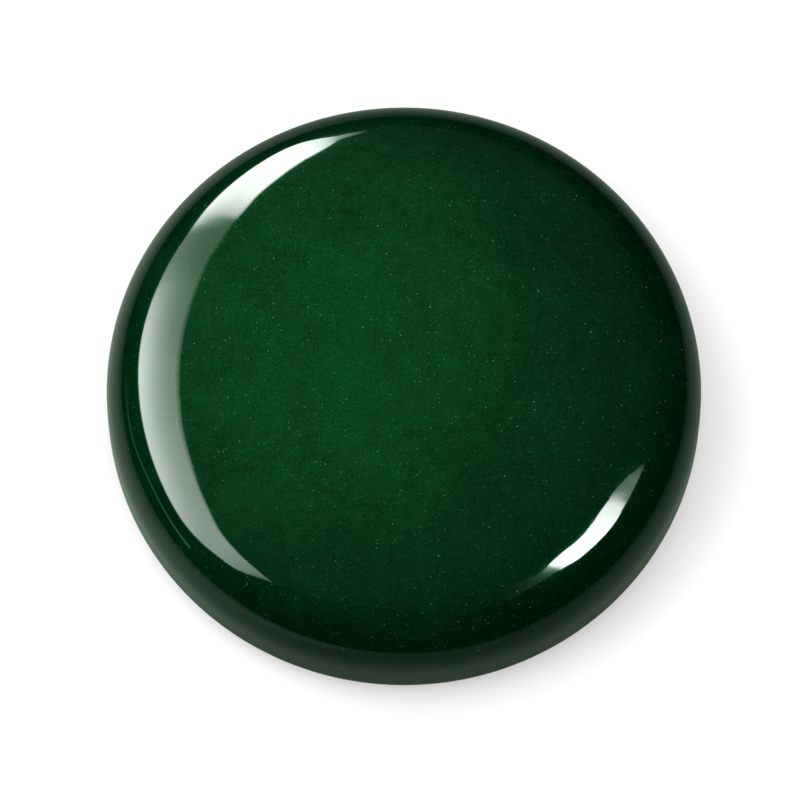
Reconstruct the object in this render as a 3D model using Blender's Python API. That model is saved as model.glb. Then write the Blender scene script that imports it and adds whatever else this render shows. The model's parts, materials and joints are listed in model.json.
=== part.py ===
"""Pebble-shaped desk inkwell with a lift-off cover.

A flat, round inkwell 110 mm across.  A weighted base carries a removable
glass ink insert in a turned socket.  A deep enamelled cover drops over the
whole of it, located on a spigot, and closes against the base just below the
widest line, so that the closed object reads as one smooth pebble.  A sprung,
swivelling seal head inside the cover presses a rubber pad on the mouth of the
glass.

Frame: +Z up, origin at the centre of the resting face.  Metres.  The helper
functions take millimetres, because the drawing dimensions are in millimetres.
Every round piece is turned about the Z axis, so every joint lies on that axis.
"""

import math

import bmesh
import bpy
from mathutils import Matrix, Vector

MM = 0.001

# ---------------------------------------------------------------- dimensions
# Outer form.  The upper half is a superellipse with a slight crown, then a
# short upright wall, then a round that turns in under the belly.
R = 55.0                 # radius at the widest line
Z_LOW = 8.6              # top of the lower round, foot of the upright wall
Z_HIGH = 14.0            # top of the upright wall
RISE = 11.9              # superellipse height above the upright wall
POW_R, POW_Z = 9.9, 2.2  # superellipse powers, radial and vertical
CROWN = 0.5              # extra rise of the top towards its middle
R_UNDER = 8.0            # radius of the lower round
R_UNDER_C = R - R_UNDER  # its centre's distance from the axis

# Heights of the parting line between cover and base
Z_ENAMEL_COVER = 5.4     # lower edge of the cover's enamel
Z_RIM_COVER = (4.75, 5.25)
Z_RIM_BASE = (3.85, 4.35)
Z_ENAMEL_BASE = 3.7      # upper edge of the base's enamel

WALL_COVER = 1.6         # enamelled shell, metal and enamel together
WALL_BASE = 1.4

# Spigot that the cover drops over
SPIGOT_IN, SPIGOT_OUT, SPIGOT_TOP = 49.4, 51.2, 9.0
COVER_BORE = 51.6

# Ink insert
GLASS_R, GLASS_BOTTOM, GLASS_TOP = 25.0, 5.3, 16.0
MOUTH_R = 16.2
COLLAR_TOP = 16.4

# Seal head in the cover
PAD = (16.6, 17.6)
PLATE = (17.75, 18.75)
STEM_R, STEM_TOP = 1.5, 23.4
CEILING = (21.6, 22.2)   # flat part of the cover's lining

# Fasteners
DECK_SCREW_PCR, DECK_SCREW_ANGLES = 38.0, (90, 210, 330)
BASE_SCREW_PCR, BASE_SCREW_ANGLES = 38.0, (30, 150, 270)
SCREW_R, HOLE_R = 1.25, 1.6

# Facets round the axis
SEG_BIG, SEG_MID, SEG_SMALL, SEG_SCREW = 40, 32, 20, 12


# ------------------------------------------------------------------- helpers
for old in list(bpy.data.objects):
    bpy.data.objects.remove(old, do_unlink=True)


def material(name, colour, roughness, metallic=0.0, transmission=0.0, coat=0.0):
    m = bpy.data.materials.new(name)
    m.use_nodes = True
    b = m.node_tree.nodes["Principled BSDF"]
    b.inputs["Base Color"].default_value = (*colour, 1.0)
    b.inputs["Roughness"].default_value = roughness
    b.inputs["Metallic"].default_value = metallic
    b.inputs["Transmission Weight"].default_value = transmission
    b.inputs["Coat Weight"].default_value = coat
    m.diffuse_color = (*colour, 1.0)
    return m


ENAMEL = material("enamel_green", (0.002, 0.042, 0.012), 0.05, coat=1.0)
BRASS = material("brass", (0.78, 0.58, 0.28), 0.28, metallic=1.0)
BRASS_BRIGHT = material("brass_bright", (0.83, 0.63, 0.32), 0.15, metallic=1.0)
STEEL = material("spring_steel", (0.55, 0.56, 0.58), 0.3, metallic=1.0)
IRON = material("cast_iron", (0.06, 0.06, 0.065), 0.6, metallic=1.0)
GLASS = material("clear_glass", (0.95, 0.98, 0.97), 0.02, transmission=1.0)
RUBBER = material("black_rubber", (0.015, 0.015, 0.016), 0.65)
LEATHER = material("foot_leather", (0.012, 0.03, 0.018), 0.75)


def group(name, z):
    """An empty on the Z axis that carries one moving body."""
    e = bpy.data.objects.new(name, None)
    e.empty_display_size = 0.02
    e.location = (0, 0, z * MM)
    bpy.context.scene.collection.objects.link(e)
    return e


def finish(bm, name, mat, parent, at, rot_z=0.0):
    """Makes an object from a bmesh whose points are in mm about `at`."""
    bmesh.ops.recalc_face_normals(bm, faces=bm.faces[:])
    for v in bm.verts:
        v.co *= MM
    mesh = bpy.data.meshes.new(name)
    bm.to_mesh(mesh)
    bm.free()
    mesh.materials.append(mat)
    mesh.shade_smooth()
    mesh.set_sharp_from_angle(angle=math.radians(35))
    obj = bpy.data.objects.new(name, mesh)
    bpy.context.scene.collection.objects.link(obj)
    if parent is not None:
        obj.parent = parent
        at = Vector(at) - Vector((0, 0, parent.location.z / MM))
    obj.location = Vector(at) * MM
    obj.rotation_euler = (0, 0, math.radians(rot_z))
    return obj


def turned(name, outline, mat, parent, seg=SEG_BIG, at=None, rot_z=0.0):
    """A solid of revolution about Z.  `outline` is a list of (radius, height)
    in mm.  An outline that starts and ends on the axis is left open there,
    any other is a closed loop."""
    z0 = min(p[1] for p in outline)
    where = (0, 0, z0) if at is None else at
    bm = bmesh.new()
    verts = [bm.verts.new((r, 0, z - z0)) for r, z in outline]
    on_axis = outline[0][0] == 0 and outline[-1][0] == 0
    last = len(verts) - 1 if on_axis else len(verts)
    edges = [bm.edges.new((verts[i], verts[(i + 1) % len(verts)])) for i in range(last)]
    bmesh.ops.spin(
        bm, geom=verts + edges, cent=(0, 0, 0), axis=(0, 0, 1),
        angle=2 * math.pi, steps=seg, use_merge=True,
    )
    bmesh.ops.remove_doubles(bm, verts=bm.verts[:], dist=1e-4)
    return finish(bm, name, mat, parent, where, rot_z)


def cutter(name, outline, x, y, seg=SEG_SCREW, rot_z=0.0):
    """A turned helper that only cuts."""
    z0 = min(p[1] for p in outline)
    c = turned(name, outline, BRASS, None, seg, at=(x, y, z0), rot_z=rot_z)
    c.hide_render = True
    c.display_type = "WIRE"
    return c


def cut(obj, tool):
    m = obj.modifiers.new("cut_" + tool.name, "BOOLEAN")
    m.operation = "DIFFERENCE"
    m.solver = "EXACT"
    m.object = tool


def polar(radius, degrees):
    a = math.radians(degrees)
    return radius * math.cos(a), radius * math.sin(a)


# ------------------------------------------------------------ the outer form
def upper(t):
    """Point on the upper outer profile, t from 0 at the middle to pi/2 at the
    top of the upright wall."""
    r = R * math.sin(t) ** (2 / POW_R)
    z = Z_HIGH + RISE * math.cos(t) ** (2 / POW_Z)
    return r, z + CROWN * (1 - (r / R) ** 2)


def slope(t, d=1e-5):
    (r0, z0), (r1, z1) = upper(max(t - d, 1e-9)), upper(min(t + d, math.pi / 2 - 1e-9))
    return math.degrees(math.atan2(z0 - z1, r1 - r0))


def at_slope(degrees):
    """The point where the upper profile has fallen to this slope."""
    low, high = 1e-6, math.pi / 2 - 1e-6
    for _ in range(60):
        mid = (low + high) / 2
        low, high = (mid, high) if slope(mid) < degrees else (low, mid)
    return upper(low)


def under(degrees, radius=R_UNDER):
    """A point on the lower round, 0 at the belly and 90 straight down."""
    a = math.radians(degrees)
    return R_UNDER_C + radius * math.cos(a), Z_LOW - radius * math.sin(a)


def under_at(z, radius=R_UNDER):
    return under(math.degrees(math.asin((Z_LOW - z) / radius)), radius)


def inset(point, degrees, wall):
    """A point moved square to the surface, inwards, by the wall."""
    a = math.radians(degrees)
    return point[0] - wall * math.sin(a), point[1] - wall * math.cos(a)


# -------------------------------------------------------- bodies of the part
base = group("base_group", 0)
well = group("well_group", GLASS_BOTTOM)
head = group("seal_head_group", CEILING[0])
cover = group("cover_group", CEILING[0])
press = group("seal_press_group", PLATE[0])

# --------------------------------------------------------------------- cover
slopes = [2.0, 5.0, 10.0, 17.0, 26.0, 37.0, 49.0, 61.0, 73.0, 83.0]
top = upper(1e-9)
outer = [(0, top[1]), (24.0, top[1] - CROWN * (24.0 / R) ** 2)]
outer += [at_slope(s) for s in slopes]
outer += [(R, Z_HIGH), (R, Z_LOW)]
outer += [under(9), under(17), under_at(Z_ENAMEL_COVER)]
inner = [under_at(Z_ENAMEL_COVER, R_UNDER - WALL_COVER), under(12, R_UNDER - WALL_COVER)]
inner += [(R - WALL_COVER, Z_LOW + 0.4), (R - WALL_COVER, Z_HIGH)]
inner += [inset(at_slope(s), s, WALL_COVER) for s in (73.0, 49.0, 26.0, 10.0, 2.0)]
inner += [(0, top[1] - WALL_COVER)]
turned("cover_shell", outer + inner, ENAMEL, cover)

turned(
    "cover_rim",
    [
        (COVER_BORE, Z_RIM_COVER[0]),
        under_at(Z_RIM_COVER[0]),
        under_at(Z_RIM_COVER[1]),
        (52.3, Z_RIM_COVER[1]),
        (52.3, 6.6),
        (COVER_BORE, 6.6),
    ],
    BRASS_BRIGHT, cover,
)

turned(
    "cover_lining",
    [
        (51.95, 6.85), (52.55, 6.85), (52.5, 16.0), (52.0, 18.0), (50.6, 20.2),
        (48.4, 21.7), (46.0, CEILING[1]), (3.5, CEILING[1]), (3.5, CEILING[0]),
        (45.9, CEILING[0]), (48.0, 21.15), (50.1, 19.8), (51.4, 17.8), (51.9, 16.0),
    ],
    BRASS, cover,
)

# ----------------------------------------------------------------- seal head
turned(
    "seal_guide",
    [
        (1.8, 20.8), (6.5, 20.8), (6.5, 21.15), (6.2, 21.4), (3.2, 21.4),
        (3.2, 22.75), (1.8, 22.75),
    ],
    BRASS_BRIGHT, head, SEG_SMALL,
)
turned(
    "guide_washer",
    [(3.4, 22.35), (5.6, 22.35), (5.6, 22.65), (3.4, 22.65)],
    BRASS_BRIGHT, head, SEG_SMALL,
)

# Conical spring: dead turn at each end, free turns between, small end up.
SPRING_WIRE, SPRING_TURNS, SPRING_STEPS = 0.5, 3.0, 54
SPRING_LARGE, SPRING_SMALL = (12.5, 19.1), (4.6, 20.45)


def spring_point(f):
    free = min(max((f - 0.18) / 0.64, 0.0), 1.0)
    free = free * free * (3 - 2 * free)
    r = SPRING_LARGE[0] + (SPRING_SMALL[0] - SPRING_LARGE[0]) * f
    z = SPRING_LARGE[1] + (SPRING_SMALL[1] - SPRING_LARGE[1]) * free
    a = 2 * math.pi * SPRING_TURNS * f
    return r * math.cos(a), r * math.sin(a), z - SPRING_LARGE[1]


wire = bpy.data.curves.new("seal_spring", "CURVE")
wire.dimensions = "3D"
wire.bevel_depth = SPRING_WIRE / 2 * MM
wire.bevel_resolution = 1
wire.use_fill_caps = True
line = wire.splines.new("POLY")
line.points.add(SPRING_STEPS)
for i in range(SPRING_STEPS + 1):
    line.points[i].co = (*(c * MM for c in spring_point(i / SPRING_STEPS)), 1)
wire.materials.append(STEEL)
spring = bpy.data.objects.new("seal_spring", wire)
bpy.context.scene.collection.objects.link(spring)
spring.parent = head
spring.location = (0, 0, (SPRING_LARGE[1] - CEILING[0]) * MM)

# ------------------------------------------------------- seal plate, sliding
turned(
    "seal_plate",
    [
        (0, PLATE[0]), (19.8, PLATE[0]), (19.8, 18.5), (19.5, PLATE[1]),
        (STEM_R, PLATE[1]), (STEM_R, 22.8), (1.1, 22.8), (1.1, 23.15),
        (STEM_R, 23.15), (STEM_R, 23.28), (1.38, STEM_TOP), (0, STEM_TOP),
    ],
    BRASS_BRIGHT, press, SEG_MID,
)
turned("seal_pad", [(0, PAD[0]), (19.3, PAD[0]), (19.6, PAD[0] + 0.25), (19.6, PAD[1]), (0, PAD[1])],
       RUBBER, press, SEG_MID)
clip = turned("stem_clip", [(1.25, 22.87), (2.9, 22.87), (2.9, 23.1), (1.25, 23.1)],
              STEEL, press, SEG_SMALL)
# The clip is a C: its mouth lets it be pushed on from the side.
bm = bmesh.new()
bmesh.ops.create_cube(bm, size=1.0)
bmesh.ops.scale(bm, vec=(3.0, 1.9, 1.2), verts=bm.verts[:])
mouth = finish(bm, "clip_mouth", BRASS, None, (2.4, 0, 23.0))
mouth.hide_render = True
mouth.display_type = "WIRE"
cut(clip, mouth)

# --------------------------------------------------------------------- insert
turned(
    "well_glass",
    [
        (0, GLASS_BOTTOM), (24.0, GLASS_BOTTOM), (GLASS_R, 6.3), (GLASS_R, 10.3),
        (24.2, 11.5), (22.4, 12.3), (18.6, 13.0), (18.6, 15.5), (17.9, GLASS_TOP),
        (16.8, 15.9), (MOUTH_R, 15.2), (MOUTH_R, 13.4), (17.4, 12.2), (20.6, 11.0),
        (22.2, 9.6), (22.0, 8.5), (20.2, 7.5), (14.0, 7.0), (0, 6.6),
    ],
    GLASS, well, SEG_MID,
)
turned(
    "well_collar",
    [
        (18.9, 13.3), (20.7, 13.3), (21.0, 13.6), (21.0, 16.05), (20.65, COLLAR_TOP),
        (17.1, COLLAR_TOP), (16.9, 16.3), (17.1, 16.2), (18.9, 16.2),
    ],
    BRASS_BRIGHT, well, SEG_MID,
)

# ----------------------------------------------------------------------- base
turned("foot_pad", [(0, 0), (43.2, 0), (43.6, 0.3), (43.6, 1.35), (0, 1.35)], LEATHER, base)

base_shell = turned(
    "base_shell",
    [
        (0, 1.6), (44.0, 1.6), (44.0, 0.85), (44.3, 0.6), (R_UNDER_C, 0.6),
        under(72), under(54), under_at(Z_ENAMEL_BASE),
        under_at(Z_ENAMEL_BASE, R_UNDER - WALL_BASE), (50.4, 3.0), (0, 3.0),
    ],
    ENAMEL, base,
)

turned(
    "base_rim",
    [
        (SPIGOT_IN, Z_RIM_BASE[0]), under_at(Z_RIM_BASE[0]), under_at(Z_RIM_BASE[1]),
        (SPIGOT_OUT, Z_RIM_BASE[1]), (SPIGOT_OUT, 5.2), (50.3, 5.2), (50.3, 6.35),
        (SPIGOT_OUT, 6.35), (SPIGOT_OUT, 8.65), (50.85, SPIGOT_TOP), (SPIGOT_IN, SPIGOT_TOP),
    ],
    BRASS_BRIGHT, base,
)

ring_r, ring_z, ring_c = 50.92, 5.78, 0.42
turned(
    "spigot_ring",
    [
        (ring_r + ring_c * math.cos(math.radians(a)), ring_z + ring_c * math.sin(math.radians(a)))
        for a in range(-150, 210, 60)
    ],
    RUBBER, base,
)

ballast = turned("ballast_ring", [(27.4, 3.3), (47.3, 3.3), (47.3, 7.0), (27.4, 7.0)], IRON, base)

deck = turned(
    "deck_tray",
    [
        (27.2, 7.3), (49.1, 7.3), (49.1, 8.9), (48.4, 8.9), (47.6, 8.1), (28.7, 8.1),
        (28.0, 8.8), (27.2, 8.8),
    ],
    BRASS, base,
)

turned(
    "well_socket",
    [
        (0, 3.3), (26.9, 3.3), (26.9, 9.9), (27.3, 10.2), (27.3, 10.8), (26.8, 11.1),
        (25.9, 11.1), (25.5, 10.7), (25.5, 4.1), (0, 4.1),
    ],
    BRASS, base, SEG_MID,
)
turned("well_cushion", [(0, 4.3), (24.4, 4.3), (24.4, 5.1), (0, 5.1)], RUBBER, base, SEG_MID)


def slot(screw, x, y, z, turn, width=0.7, depth=0.7, length=8.0):
    b = bmesh.new()
    bmesh.ops.create_cube(b, size=1.0)
    bmesh.ops.scale(b, vec=(length, width, 2 * depth), verts=b.verts[:])
    s = finish(b, screw.name + "_slot", BRASS, None, (x, y, z), turn)
    s.hide_render = True
    s.display_type = "WIRE"
    cut(screw, s)


# Three cheese-head screws hold the deck down on the ballast ring.
for n, angle in enumerate(DECK_SCREW_ANGLES, 1):
    x, y = polar(DECK_SCREW_PCR, angle)
    screw = turned(
        f"deck_screw_{n}",
        [(0, 4.4), (0.9, 4.4), (SCREW_R, 4.75), (SCREW_R, 8.25), (2.5, 8.25), (2.5, 9.15),
         (2.15, 9.4), (0, 9.4)],
        BRASS_BRIGHT, base, SEG_SCREW, at=(x, y, 4.4),
    )
    slot(screw, x, y, 9.4, angle + 35 * n)
    hole = cutter(f"deck_hole_{n}", [(0, 4.0), (HOLE_R, 4.0), (HOLE_R, 8.6), (0, 8.6)], x, y)
    cut(deck, hole)
    cut(ballast, hole)

# Three countersunk screws, hidden by the foot pad, hold the base to the ring.
for n, angle in enumerate(BASE_SCREW_ANGLES, 1):
    x, y = polar(BASE_SCREW_PCR, angle)
    screw = turned(
        f"base_screw_{n}",
        [(0, 1.65), (2.4, 1.65), (2.4, 1.85), (SCREW_R, 2.95), (SCREW_R, 6.0), (0.9, 6.35), (0, 6.35)],
        STEEL, base, SEG_SCREW, at=(x, y, 1.65),
    )
    slot(screw, x, y, 1.65, angle + 20 * n, depth=0.55)
    sink = cutter(f"sink_{n}", [(0, 1.2), (2.75, 1.2), (2.75, 1.95), (HOLE_R, 3.05), (HOLE_R, 3.6), (0, 3.6)], x, y)
    cut(base_shell, sink)
    hole = cutter(f"tapping_{n}", [(0, 3.0), (HOLE_R, 3.0), (HOLE_R, 6.6), (0, 6.6)], x, y)
    cut(ballast, hole)
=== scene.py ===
"""Looks for the pebble inkwell: fine turned meshes, materials, stage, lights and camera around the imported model."""

import json
import math

import bmesh
import bpy
from mathutils import Matrix, Vector

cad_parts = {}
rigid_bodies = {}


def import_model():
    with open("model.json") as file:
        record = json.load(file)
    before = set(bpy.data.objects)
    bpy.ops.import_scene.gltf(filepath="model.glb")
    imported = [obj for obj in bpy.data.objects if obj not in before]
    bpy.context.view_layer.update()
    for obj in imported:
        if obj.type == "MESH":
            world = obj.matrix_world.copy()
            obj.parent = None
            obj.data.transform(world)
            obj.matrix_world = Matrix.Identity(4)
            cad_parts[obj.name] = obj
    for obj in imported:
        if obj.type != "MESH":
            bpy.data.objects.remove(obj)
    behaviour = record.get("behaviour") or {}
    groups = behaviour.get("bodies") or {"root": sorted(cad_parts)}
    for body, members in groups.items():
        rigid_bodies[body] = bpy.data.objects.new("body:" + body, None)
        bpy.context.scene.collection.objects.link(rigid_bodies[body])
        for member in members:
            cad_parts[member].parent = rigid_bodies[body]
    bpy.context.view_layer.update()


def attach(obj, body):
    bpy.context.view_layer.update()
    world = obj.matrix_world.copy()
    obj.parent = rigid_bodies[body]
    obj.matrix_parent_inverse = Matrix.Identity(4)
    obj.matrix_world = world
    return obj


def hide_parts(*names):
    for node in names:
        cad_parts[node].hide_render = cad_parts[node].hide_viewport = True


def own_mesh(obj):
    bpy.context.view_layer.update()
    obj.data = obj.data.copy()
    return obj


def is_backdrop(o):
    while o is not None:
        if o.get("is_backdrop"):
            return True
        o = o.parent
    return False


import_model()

MM = 0.001

# ------------------------------------------------------------------ outlines
# The same driving sizes as the solids, in millimetres.
R = 55.0
Z_LOW, Z_HIGH, RISE = 8.6, 14.0, 11.9
POW_R, POW_Z, CROWN = 9.9, 2.2, 0.5
R_UNDER = 8.0
R_UNDER_C = R - R_UNDER
WALL_COVER, WALL_BASE = 1.6, 1.4


def upper(t):
    r = R * math.sin(t) ** (2 / POW_R)
    return r, Z_HIGH + RISE * math.cos(t) ** (2 / POW_Z) + CROWN * (1 - (r / R) ** 2)


def slope(t, d=1e-5):
    (r0, z0), (r1, z1) = upper(max(t - d, 1e-9)), upper(min(t + d, math.pi / 2 - 1e-9))
    return math.degrees(math.atan2(z0 - z1, r1 - r0))


def at_slope(degrees):
    low, high = 1e-6, math.pi / 2 - 1e-6
    for _ in range(60):
        mid = (low + high) / 2
        low, high = (mid, high) if slope(mid) < degrees else (low, mid)
    return upper(low)


def under(degrees, radius=R_UNDER):
    a = math.radians(degrees)
    return R_UNDER_C + radius * math.cos(a), Z_LOW - radius * math.sin(a)


def under_angle(z, radius=R_UNDER):
    return math.degrees(math.asin((Z_LOW - z) / radius))


def inset(point, degrees, wall):
    a = math.radians(degrees)
    return point[0] - wall * math.sin(a), point[1] - wall * math.cos(a)


def rounded(points, closed=True, steps=4):
    """Points (r, z) stay as they are; points (r, z, f) become an arc of radius f."""
    out, n = [], len(points)
    for i, p in enumerate(points):
        f = p[2] if len(p) > 2 else 0.0
        if f <= 0 or (not closed and i in (0, n - 1)):
            out.append((p[0], p[1]))
            continue
        here = Vector(p[:2])
        a, b = Vector(points[i - 1][:2]) - here, Vector(points[(i + 1) % n][:2]) - here
        la, lb = a.length, b.length
        a.normalize()
        b.normalize()
        half = math.acos(max(-1.0, min(1.0, a.dot(b)))) / 2
        if half > math.radians(88):
            out.append((p[0], p[1]))
            continue
        reach = min(f / math.tan(half), 0.48 * la, 0.48 * lb)
        f = reach * math.tan(half)
        centre = here + (a + b).normalized() * (f / math.sin(half))
        s, e = here + a * reach - centre, here + b * reach - centre
        turn = s.angle_signed(e)
        k = max(steps, int(abs(math.degrees(turn)) / 14))
        for j in range(k + 1):
            t = -turn * j / k
            out.append((
                centre.x + s.x * math.cos(t) - s.y * math.sin(t),
                centre.y + s.x * math.sin(t) + s.y * math.cos(t),
            ))
    return out


# ------------------------------------------------------------ mesh and pieces
def mesh_from(bm, name, smooth=40):
    bmesh.ops.recalc_face_normals(bm, faces=bm.faces[:])
    for v in bm.verts:
        v.co *= MM
    me = bpy.data.meshes.new(name)
    bm.to_mesh(me)
    bm.free()
    me.shade_smooth()
    me.set_sharp_from_angle(angle=math.radians(smooth))
    obj = bpy.data.objects.new(name, me)
    bpy.context.scene.collection.objects.link(obj)
    return obj


def turned(name, outline, seg=192, closed=True, shape=None, smooth=40):
    """A solid of revolution about Z, in mm.  shape(radius, height, angle) may
    change a point's radius, for knurling."""
    bm = bmesh.new()
    rings = []
    for r, z in outline:
        if r <= 1e-6:
            rings.append([bm.verts.new((0, 0, z))])
            continue
        ring = []
        for k in range(seg):
            a = 2 * math.pi * k / seg
            rr = shape(r, z, a) if shape else r
            ring.append(bm.verts.new((rr * math.cos(a), rr * math.sin(a), z)))
        rings.append(ring)
    pairs = list(zip(rings, rings[1:]))
    if closed:
        pairs.append((rings[-1], rings[0]))
    for one, two in pairs:
        if len(one) == 1 and len(two) == 1:
            continue
        for k in range(seg):
            n = (k + 1) % seg
            if len(one) == 1:
                bm.faces.new((one[0], two[k], two[n]))
            elif len(two) == 1:
                bm.faces.new((one[k], two[0], one[n]))
            else:
                bm.faces.new((one[k], two[k], two[n], one[n]))
    return mesh_from(bm, name, smooth)


def box(name, size, at, turn=0.0):
    bm = bmesh.new()
    bmesh.ops.create_cube(bm, size=1.0)
    bmesh.ops.scale(bm, vec=size, verts=bm.verts[:])
    bmesh.ops.rotate(bm, cent=(0, 0, 0), verts=bm.verts[:],
                     matrix=Matrix.Rotation(math.radians(turn), 3, "Z"))
    bmesh.ops.translate(bm, vec=at, verts=bm.verts[:])
    return mesh_from(bm, name, 30)


def moved(obj, x, y):
    for v in obj.data.vertices:
        v.co.x += x * MM
        v.co.y += y * MM
    return obj


def carve(obj, tools, bevel=0.0):
    """Cuts the tools from obj, breaks the new edges and applies everything."""
    for t in tools:
        m = obj.modifiers.new("cut", "BOOLEAN")
        m.operation, m.solver, m.object = "DIFFERENCE", "EXACT", t
    if bevel:
        b = obj.modifiers.new("edge", "BEVEL")
        b.width, b.segments, b.limit_method, b.angle_limit = bevel * MM, 2, "ANGLE", math.radians(50)
        b.use_clamp_overlap = True
    dg = bpy.context.evaluated_depsgraph_get()
    new = bpy.data.meshes.new_from_object(obj.evaluated_get(dg))
    old = obj.data
    obj.modifiers.clear()
    obj.data = new
    bpy.data.meshes.remove(old)
    new.shade_smooth()
    new.set_sharp_from_angle(angle=math.radians(35))
    for t in tools:
        me = t.data
        bpy.data.objects.remove(t)
        bpy.data.meshes.remove(me)
    return obj


def place(obj, body, node, mat):
    obj.data.materials.clear()
    obj.data.materials.append(mat)
    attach(obj, body)
    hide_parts(node)
    return obj


# ------------------------------------------------------------------ materials
class Nodes:
    """A small builder for one Principled material."""

    def __init__(self, name):
        self.mat = bpy.data.materials.new(name)
        self.mat.use_nodes = True
        self.nt = self.mat.node_tree
        self.bsdf = self.nt.nodes["Principled BSDF"]
        tc = self.nt.nodes.new("ShaderNodeTexCoord")
        self.mm = self.vec("SCALE", tc.outputs["Object"], scale=1000.0)

    def put(self, socket, value):
        if isinstance(value, bpy.types.NodeSocket):
            self.nt.links.new(value, socket)
        elif value is not None:
            socket.default_value = value

    def vec(self, op, a, b=None, scale=None):
        n = self.nt.nodes.new("ShaderNodeVectorMath")
        n.operation = op
        self.put(n.inputs[0], a)
        if b is not None:
            self.put(n.inputs[1], b)
        if scale is not None:
            self.put(n.inputs["Scale"], scale)
        return n.outputs["Value"] if op in ("LENGTH", "DOT_PRODUCT", "DISTANCE") else n.outputs["Vector"]

    def math(self, op, a, b=0.0, c=0.0, clamp=False):
        n = self.nt.nodes.new("ShaderNodeMath")
        n.operation, n.use_clamp = op, clamp
        for i, v in enumerate((a, b, c)):
            if i < len(n.inputs):
                self.put(n.inputs[i], v)
        return n.outputs[0]

    def noise(self, vec, scale, detail=2.0, rough=0.5, distort=0.0, colour=False):
        n = self.nt.nodes.new("ShaderNodeTexNoise")
        self.put(n.inputs["Vector"], vec)
        self.put(n.inputs["Scale"], scale)
        self.put(n.inputs["Detail"], detail)
        self.put(n.inputs["Roughness"], rough)
        self.put(n.inputs["Distortion"], distort)
        return n.outputs["Color"] if colour else n.outputs["Fac"]

    def voronoi(self, vec, scale, feature="F1", rand=1.0):
        n = self.nt.nodes.new("ShaderNodeTexVoronoi")
        n.feature = feature
        self.put(n.inputs["Vector"], vec)
        self.put(n.inputs["Scale"], scale)
        self.put(n.inputs["Randomness"], rand)
        return n

    def ramp(self, value, low, high, to_low=0.0, to_high=1.0, kind="SMOOTHSTEP"):
        n = self.nt.nodes.new("ShaderNodeMapRange")
        n.interpolation_type, n.clamp = kind, True
        for i, v in enumerate((value, low, high, to_low, to_high)):
            self.put(n.inputs[i], v)
        return n.outputs[0]

    def mix(self, factor, a, b, kind="MIX"):
        n = self.nt.nodes.new("ShaderNodeMix")
        n.data_type, n.blend_type = "RGBA", kind
        self.put(n.inputs["Factor"], factor)
        self.put(n.inputs[6], a if isinstance(a, bpy.types.NodeSocket) else (*a, 1.0))
        self.put(n.inputs[7], b if isinstance(b, bpy.types.NodeSocket) else (*b, 1.0))
        return n.outputs[2]

    def grey(self, value):
        n = self.nt.nodes.new("ShaderNodeCombineColor")
        for i in range(3):
            self.put(n.inputs[i], value)
        return n.outputs[0]

    def bump(self, height, distance, strength=1.0, normal=None):
        n = self.nt.nodes.new("ShaderNodeBump")
        self.put(n.inputs["Height"], height)
        self.put(n.inputs["Distance"], distance)
        self.put(n.inputs["Strength"], strength)
        if normal is not None:
            self.put(n.inputs["Normal"], normal)
        return n.outputs["Normal"]

    def radius(self):
        flat = self.vec("MULTIPLY", self.mm, (1, 1, 0))
        return self.vec("LENGTH", flat)

    def height(self):
        n = self.nt.nodes.new("ShaderNodeSeparateXYZ")
        self.put(n.inputs[0], self.mm)
        return n.outputs[2]

    def lathe_space(self, across=1.0, along=0.02):
        """(radius, height, a little of the angle): noise there makes turning marks."""
        sep = self.nt.nodes.new("ShaderNodeSeparateXYZ")
        self.put(sep.inputs[0], self.mm)
        ang = self.math("ARCTAN2", sep.outputs[1], sep.outputs[0])
        com = self.nt.nodes.new("ShaderNodeCombineXYZ")
        self.put(com.inputs[0], self.math("MULTIPLY", self.radius(), across))
        self.put(com.inputs[1], self.math("MULTIPLY", sep.outputs[2], across))
        self.put(com.inputs[2], self.math("MULTIPLY", self.math("SINE", ang), along * 20))
        return com.outputs[0]

    def set(self, **values):
        for key, value in values.items():
            name = key.replace("_", " ").title().replace("Ior", "IOR")
            self.put(self.bsdf.inputs[name], value)
        return self.mat


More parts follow.
